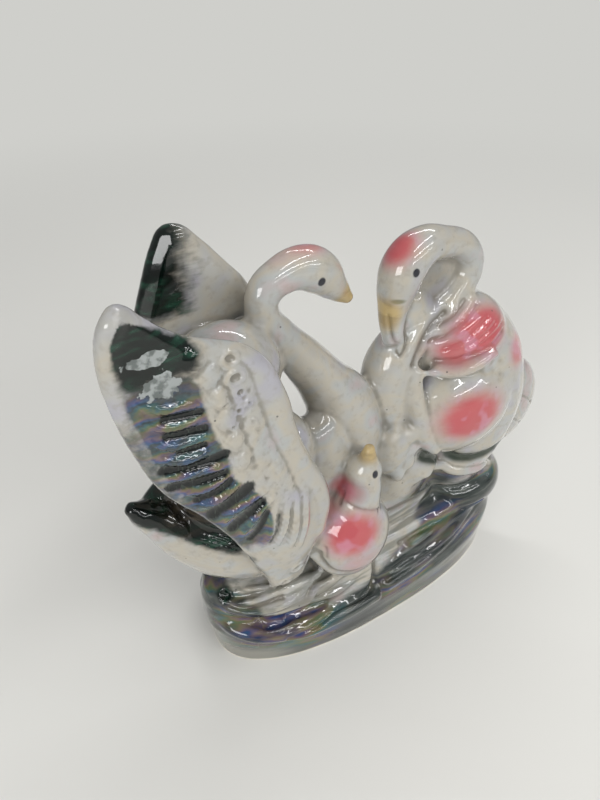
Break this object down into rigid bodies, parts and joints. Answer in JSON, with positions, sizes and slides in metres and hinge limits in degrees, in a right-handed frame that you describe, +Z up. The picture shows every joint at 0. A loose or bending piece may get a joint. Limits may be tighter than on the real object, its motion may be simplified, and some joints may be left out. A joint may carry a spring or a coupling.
{
  "type": "swan pair figurine",
  "caption": "Slip-cast lustre porcelain figurine: a swan with raised wings facing a swan with folded wings, a cygnet between them, on an oval wave base.",
  "frame": {"origin": "centre of the bounding box in plan, on the underside of the foot rim", "axes": "+X runs from the swan with raised wings to the swan with folded wings, -Y is the near side with the cygnet, +Z is up"},
  "size_m": [0.1705, 0.055, 0.1572],
  "materials": {
    "lustre_porcelain": "glazed, high gloss"
  },
  "bodies": {
    "root": {"swan_figurine": "lustre_porcelain"}
  },
  "joints": []
}
